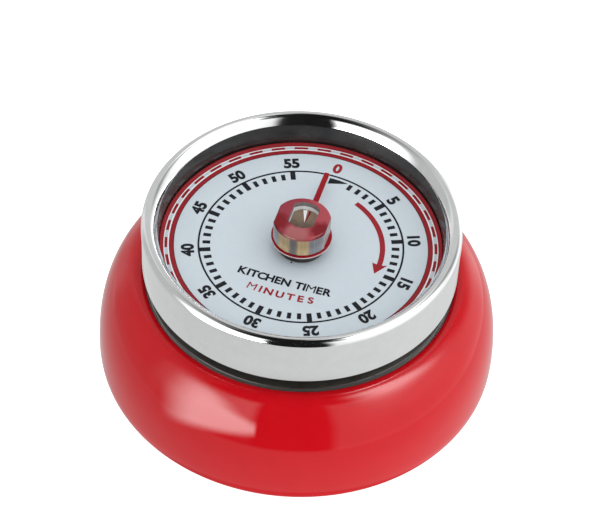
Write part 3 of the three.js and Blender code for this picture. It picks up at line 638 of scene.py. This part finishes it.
def arc_text(text, cx, cy, radius, centre_deg, spacing, height, squeeze, bold):
    """Letters set on an arc whose centre is (cx, cy); centre_deg is the middle of the line from +X; tops point to the arc's centre."""
    widths = {"I": 0.42, "M": 1.18, "N": 1.05, " ": 0.6, "T": 0.92, "E": 0.88, "S": 0.88, "5": 0.88, "C": 1.0, "K": 1.0, "H": 1.05, "R": 1.0, "U": 1.0}
    total = sum(widths.get(c, 1) for c in text)
    out, run = [], -total / 2
    for c in text:
        w = widths.get(c, 1)
        mid = run + w / 2
        run += w
        if c == " ":
            continue
        a = math.radians(centre_deg) + mid * spacing / radius
        out.append((c, cx + radius * math.cos(a), cy + radius * math.sin(a), math.degrees(a) + 90, height, squeeze, 0.0 if c == "M" else bold))
    return out


lettering("dial_words_black", arc_text("KITCHEN TIMER", -16.6, 137.7, 147.8, -83.1, 1.49, 1.66, 1.04, 0.036), "print_black", Z0, Z1)
lettering("dial_words_red", arc_text("MINUTES", -3.7, 25.4, 37.8, -81.9, 2.0, 1.5, 1.12, 0.034), "print_red", Z0, Z1)

# ------------------------------------------------------------------ pointer, insert and knob
def spin(x, y):
    """Local +X is along the pointer."""
    return x * math.cos(TURN) - y * math.sin(TURN), x * math.sin(TURN) + y * math.cos(TURN)


def pointer_piece():
    """Disc and finger are two closed solids that overlap, each with a red top layer and a pale core that shows at its edge."""
    def build(name, outline, hole_r, z0, z1, material):
        verts, faces = [], []
        n = len(outline(0))
        levels = [(z0, -0.015), (z0 + 0.02, 0.0), (z1 - 0.03, 0.0), (z1, -0.03)]
        for z, g in levels:
            verts += [(x, y, z) for x, y in outline(g)]
        for k in range(3):
            for i in range(n):
                j = (i + 1) % n
                faces.append((k * n + i, k * n + j, (k + 1) * n + j, (k + 1) * n + i))
        if hole_r:
            base = len(verts)
            for z in (z0, z1):
                verts += [(hole_r * math.cos(2 * math.pi * i / n), hole_r * math.sin(2 * math.pi * i / n), z) for i in range(n)]
            for i in range(n):
                j = (i + 1) % n
                faces.append((i, base + i, base + j, j))
                faces.append((3 * n + i, 3 * n + j, base + n + j, base + n + i))
                faces.append((base + i, base + n + i, base + n + j, base + j))
        else:
            faces.append(tuple(reversed(range(n))))
            faces.append(tuple(range(3 * n, 4 * n)))
        return verts, faces
    disc = lambda g: [(5.3 * (1 + g / 5.3) * math.cos(2 * math.pi * i / 128), (5.3 + g) * math.sin(2 * math.pi * i / 128)) for i in range(128)]

    def finger(g):
        w = 0.525 + g
        pts = [(5.0, -w), (10.0, -w * 0.95), (15.5, -w * 0.87), (15.7 + g, -w * 0.62), (15.7 + g, w * 0.62), (15.5, w * 0.87), (10.0, w * 0.95), (5.0, w)]
        return [spin(*p) for p in pts]
    v, f = join_data(build("a", disc, 2.7, 30.86, 31.1, None), build("b", finger, 0, 30.86, 31.09, None))
    piece("pointer_top", v, f, "pointer_red", "winding_arbor", replaces=["pointer"])
    v, f = join_data(build("a", disc, 2.7, 30.6, 30.865, None), build("b", finger, 0, 30.62, 30.865, None))
    piece("pointer_base", v, f, "pointer_edge", "winding_arbor")


pointer_piece()

insert_profile = rounded([(1.55, 30.6), (2.6, 30.6, 0.05), (2.6, 32.8, 0.15), (0, 32.8), (0, 32.6), (1.55, 32.6)], 3)
lathe("brass_insert", insert_profile, "insert_brass", "winding_arbor", seg=96, replaces=["knob_insert"])


def dd_outline(half, radius, fillet, n_arc=22, n_corner=6, n_flat=4):
    """Double-D with filleted corners; round ends along the pointer."""
    h, R = half - fillet, radius - fillet
    tc = math.acos(h / R)          # half angle of a flat, seen from the centre, about the local X axis
    pts = []
    for side in range(2):
        base = math.pi * side
        # flat at angle base (normal along local X turned by base)
        c0 = (R * math.cos(base - tc), R * math.sin(base - tc))
        c1 = (R * math.cos(base + tc), R * math.sin(base + tc))
        for k in range(n_corner):
            t = base - tc + tc * k / n_corner
            pts.append((c0[0] + fillet * math.cos(t), c0[1] + fillet * math.sin(t)))
        for k in range(n_flat):
            s = k / n_flat
            x, y = c0[0] + (c1[0] - c0[0]) * s, c0[1] + (c1[1] - c0[1]) * s
            pts.append((x + fillet * math.cos(base), y + fillet * math.sin(base)))
        for k in range(n_corner):
            t = base + tc * k / n_corner
            pts.append((c1[0] + fillet * math.cos(t), c1[1] + fillet * math.sin(t)))
        for k in range(n_arc):
            t = base + tc + (math.pi - 2 * tc) * k / n_arc
            pts.append((radius * math.cos(t), radius * math.sin(t)))
    # local X here is across the flats, so turn it to stand across the pointer
    a = TURN - math.pi / 2
    return [(x * math.cos(a) - y * math.sin(a), x * math.sin(a) + y * math.cos(a)) for x, y in pts]


WINDOW_SHIFT = 0.85      # the window sits towards the pointer, mm


def knob_mesh():
    """Returns the closed solid and one material number per face: 0 side, 1 red top, 2 grey, 3 white, 4 floor of the window."""
    sx, sy = spin(WINDOW_SHIFT, 0)
    loops = []
    for z, g in [(31.15, 0.10), (31.25, 0.0), (34.78, 0.0), (34.95, 0.04), (35.1, 0.12), (35.21, 0.24), (35.28, 0.36), (35.3, 0.48)]:
        loops.append([(x, y, z) for x, y in dd_outline(4.62 - g, 5.05 - g, 0.35)])
    for z, h, R in [(35.3, 2.38, 3.13), (35.26, 2.31, 3.06), (35.18, 2.3, 3.05), (34.3, 2.3, 3.05), (33.4, 2.3, 3.05)]:
        loops.append([(x + sx, y + sy, z) for x, y in dd_outline(h, R, 0.3)])
    mats = [0, 0, 1, 1, 1, 1, 1, 1, 1, 2, 2, 3]
    n = len(loops[0])
    verts = [p for l in loops for p in l]
    faces, ids = [], []
    for k in range(len(loops) - 1):
        for i in range(n):
            j = (i + 1) % n
            faces.append((k * n + i, k * n + j, (k + 1) * n + j, (k + 1) * n + i))
            ids.append(mats[k])
    last = (len(loops) - 1) * n
    top = len(verts)
    verts.append((sx, sy, 33.4))
    for i in range(n):
        faces.append((last + i, last + (i + 1) % n, top))
        ids.append(4)
    # bore from below
    bore = []
    for z, r in [(31.15, 2.75), (32.85, 2.75), (32.95, 2.65)]:
        bore.append(len(verts))
        for x, y in dd_outline(4.62, 5.05, 0.35):
            a = math.atan2(y, x)
            verts.append((r * math.cos(a), r * math.sin(a), z))
    for i in range(n):
        j = (i + 1) % n
        faces.append((i, bore[0] + i, bore[0] + j, j))
        ids.append(0)
        for k in range(2):
            faces.append((bore[k] + i, bore[k + 1] + i, bore[k + 1] + j, bore[k] + j))
            ids.append(0)
    roof = len(verts)
    verts.append((0, 0, 32.95))
    for i in range(n):
        faces.append((bore[2] + i, roof, bore[2] + (i + 1) % n))
        ids.append(0)
    return verts, faces, ids


v, f, ids = knob_mesh()
knob = piece("knob_body", v, f, ["knob_side", "knob_red", "knob_grey", "knob_white", "knob_floor"], "winding_arbor", sharp=35, replaces=["knob"])
assert len(knob.data.polygons) == len(ids)
knob.data.polygons.foreach_set("material_index", ids)
knob.data.update()


def on_floor(r, a):
    """A point of the window's floor: r to the right and a away, seen from the camera's side, mm."""
    return r * math.cos(AZ) - a * math.sin(AZ), r * math.sin(AZ) + a * math.cos(AZ)


# Painted reflections: a white wedge and a red stripe on the window's floor, set by the camera's azimuth, stand in for
# the pointer's reflections in the clear knob.
v, f = prism([on_floor(*q) for q in ((0.10, 3.72), (0.38, 0.73), (0.83, 3.62))], 33.38, 33.44)
piece("window_reflection_wedge", v, f, "knob_white", "winding_arbor")
v, f = prism([on_floor(*q) for q in ((1.12, 3.50), (0.92, 2.6), (0.42, 0.75), (0.62, 0.95), (1.22, 2.5), (1.5, 3.35))], 33.38, 33.43)
piece("window_reflection_stripe", v, f, "pointer_red", "winding_arbor")

# ------------------------------------------------------------------ CAD nodes that stay as they are
slots = {s["node"]: s.get("material_slot") for s in frame["record"]["subparts"]}
for name, o in NODES.items():
    key = slots.get(name)
    o.data.materials.clear()
    o.data.materials.append(MAT.get(key, MAT["arbor_steel"]))

# ------------------------------------------------------------------ floor and light
floor_mesh = bpy.data.meshes.new("floor")
S = 3.0
floor_mesh.from_pydata([(-S, -S, 0), (S, -S, 0), (S, S, 0), (-S, S, 0)], [], [(0, 1, 2, 3)])
floor = bpy.data.objects.new("floor", floor_mesh)
floor.location.z = -0.00002
bpy.context.scene.collection.objects.link(floor)
fm, fnt, fb = new_material("floor_white")
fv = coords(fnt)
fnt.links.new(mix_colour(fnt, noise(fnt, fv, 40, 2.0), (0.93, 0.93, 0.93), (0.95, 0.95, 0.95)), fb.inputs["Base Color"])
fb.inputs["Roughness"].default_value = 0.9
fb.inputs["Specular IOR Level"].default_value = 0.0
fb.inputs["Emission Color"].default_value = (1, 1, 1, 1)
fb.inputs["Emission Strength"].default_value = 0.9
# the floor is one-sided, so that the base can be looked at from below
geo, clear, pick = (fnt.nodes.new(k) for k in ("ShaderNodeNewGeometry", "ShaderNodeBsdfTransparent", "ShaderNodeMixShader"))
fnt.links.new(geo.outputs["Backfacing"], pick.inputs[0])
fnt.links.new(fb.outputs[0], pick.inputs[1])
fnt.links.new(clear.outputs[0], pick.inputs[2])
fnt.links.new(pick.outputs[0], next(n for n in fnt.nodes if n.type == "OUTPUT_MATERIAL").inputs[0])
floor_mesh.materials.append(fm)
floor.visible_glossy = False
floor.visible_diffuse = False
floor.visible_transmission = True

world = bpy.data.worlds.new("studio")
bpy.context.scene.world = world
world.use_nodes = True
wt = world.node_tree
wt.nodes.clear()
wo = wt.nodes.new("ShaderNodeOutputWorld")
bg = wt.nodes.new("ShaderNodeBackground")
wt.links.new(bg.outputs[0], wo.inputs[0])
tc = wt.nodes.new("ShaderNodeTexCoord")
sep = wt.nodes.new("ShaderNodeSeparateXYZ")
wt.links.new(tc.outputs["Generated"], sep.inputs[0])
wx, wy, wz = sep.outputs


def W(op, a, b=None):
    return math_node(wt, op, a, b)


front = W("SUBTRACT", W("MULTIPLY", wx, math.sin(AZ)), W("MULTIPLY", wy, math.cos(AZ)))
side = W("ADD", W("MULTIPLY", wx, math.cos(AZ)), W("MULTIPLY", wy, math.sin(AZ)))
azi = W("MULTIPLY", W("ARCTAN2", side, front), 180 / math.pi)
ele = W("MULTIPLY", W("ARCSINE", W("MINIMUM", W("MAXIMUM", wz, -1.0), 1.0)), 180 / math.pi)


def up_step(v, a, b):
    return remap(wt, v, a, b, 0.0, 1.0, True)


def down_step(v, a, b):
    return remap(wt, v, a, b, 1.0, 0.0, True)


def product(*xs):
    out = xs[0]
    for q in xs[1:]:
        out = W("MULTIPLY", out, q)
    return out


LIGHT = 0.55
above = up_step(ele, -24, -20)
left_low = W("ADD", W("MULTIPLY", azi, 0.45), -1.4)         # lower and upper edges of the left window slope with azimuth
left_top = W("ADD", W("MULTIPLY", azi, -1.02), -8.0)
left_box = W("ADD", product(15.0, up_step(azi, -74, -50), down_step(azi, -19.5, -17), up_step(W("SUBTRACT", ele, left_low), -3, 9),
                            down_step(W("SUBTRACT", ele, left_top), -14, 8), down_step(ele, 20, 52)),
             product(3.4, up_step(azi, -86, -60), down_step(azi, -24, -17), up_step(ele, -27, 20), down_step(ele, 40, 60)))
right_box = W("ADD", product(13.0, up_step(azi, 34, 70), down_step(azi, 84, 104), up_step(ele, 18, 52), down_step(ele, 62, 76)),
              product(1.6, up_step(azi, 16, 60), down_step(azi, 80, 120), up_step(ele, -18, 40), down_step(ele, 58, 76)))
right_low = W("ADD", product(1.75, up_step(azi, 18, 26), down_step(azi, 100, 135), above, down_step(ele, 46, 62)),
              product(1.5, up_step(azi, 98, 125), down_step(azi, 145, 160), above, down_step(ele, 0, 30)))
back_arc = product(1.7, up_step(azi, 60, 72), down_step(azi, 168, 178), up_step(ele, 50, 60), down_step(ele, 72, 80))
left_far = product(1.0, up_step(azi, -142, -128), down_step(azi, -80, -60), above, down_step(ele, 45, 85))
rear = product(1.15, up_step(W("ABSOLUTE", azi), 118, 142), above, down_step(ele, 50, 76))
ground = product(down_step(ele, -24, -19), W("ADD", 0.42, product(0.88, up_step(ele, -68, -58))), W("ADD", 0.97, W("MULTIPLY", side, 0.12)))
total = None
for part in (left_box, right_box, right_low, back_arc, left_far, rear):
    total = part if total is None else W("ADD", total, part)
strip = product(up_step(azi, -18, -16.5), down_step(azi, 16, 19))
total = W("MULTIPLY", total, W("SUBTRACT", 1.0, product(strip, above)))
cap = product(up_step(azi, -70, -36), down_step(azi, 34, 64), up_step(ele, 44, 60))
total = W("MULTIPLY", total, W("SUBTRACT", 1.0, W("MULTIPLY", cap, 0.85)))
total = W("ADD", total, ground)
total = W("ADD", total, 0.02)
total = W("MULTIPLY", total, LIGHT)

# broad soft light: a little stronger from the right, from straight above and from the white floor
wide = W("ADD", 1.0, W("MULTIPLY", front, 0.10))
wide = W("ADD", wide, W("MULTIPLY", side, 0.40))
wide = W("ADD", wide, W("MULTIPLY", W("MAXIMUM", W("MULTIPLY", wz, -1.0), 0.0), 0.9))
wide = W("ADD", wide, product(0.6, up_step(ele, 40, 62)))

lp = wt.nodes.new("ShaderNodeLightPath")


def choose(flag, no, yes):
    n = wt.nodes.new("ShaderNodeMix")
    n.data_type = "FLOAT"
    wt.links.new(lp.outputs[flag], n.inputs[0])
    wt.links.new(no, n.inputs[2])
    if isinstance(yes, float):
        n.inputs[3].default_value = yes
    else:
        wt.links.new(yes, n.inputs[3])
    return n.outputs[0]


wt.links.new(choose("Is Camera Ray", choose("Is Diffuse Ray", total, wide), 1.0), bg.inputs["Strength"])
bg.inputs["Color"].default_value = (1, 1, 1, 1)
world.cycles.sampling_method = "NONE"
